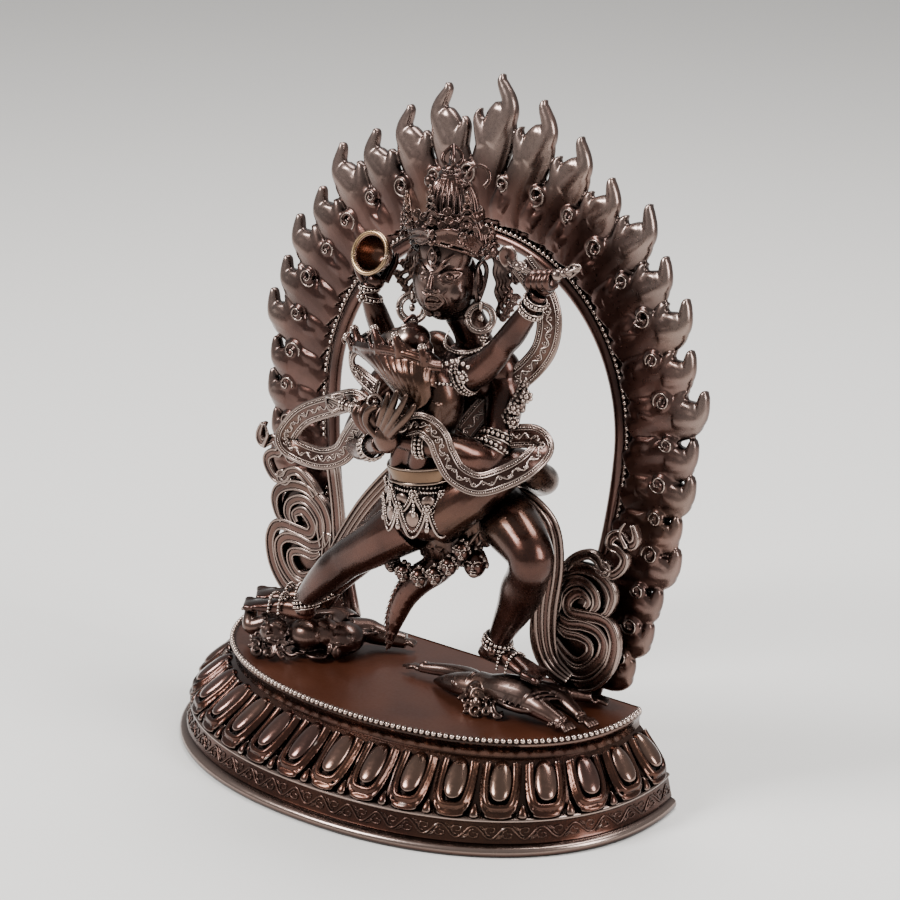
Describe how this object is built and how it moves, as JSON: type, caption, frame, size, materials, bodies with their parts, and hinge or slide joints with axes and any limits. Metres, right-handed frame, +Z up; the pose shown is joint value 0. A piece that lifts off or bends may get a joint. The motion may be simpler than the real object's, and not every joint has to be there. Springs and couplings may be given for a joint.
{
  "type": "chakrasamvara statue",
  "caption": "Oxidised copper statue of a deity and his consort in embrace, treading on lying figures, on a D-shaped lotus base in front of a flame aureole.",
  "frame": {"origin": "on the underside of the lotus base, 19 mm in front of its straight back edge and midway between its sides", "axes": "+Z up, -Y the way the deity faces, +X to the right of someone looking at the statue"},
  "size_m": [0.179, 0.1016, 0.2196],
  "materials": {
    "base_copper": "oxidised copper, semi-gloss reddish brown with polished rims",
    "flame_copper": "oxidised copper, reddish brown with polished pinkish silver flame tips",
    "figure_copper": "oxidised copper, dark semi-gloss with polished high points",
    "cup_metal": "dark cup with a brass-toned polished rim",
    "worn_copper": "oxidised copper, near-black hollows and worn bright points"
  },
  "bodies": {
    "root": {"lotus_base": "base_copper", "aureole": "flame_copper", "figure_pair": "figure_copper", "skull_cup": "cup_metal", "trampled_figure_left_of_base": "worn_copper", "trampled_figure_right_of_base": "worn_copper"}
  },
  "joints": []
}
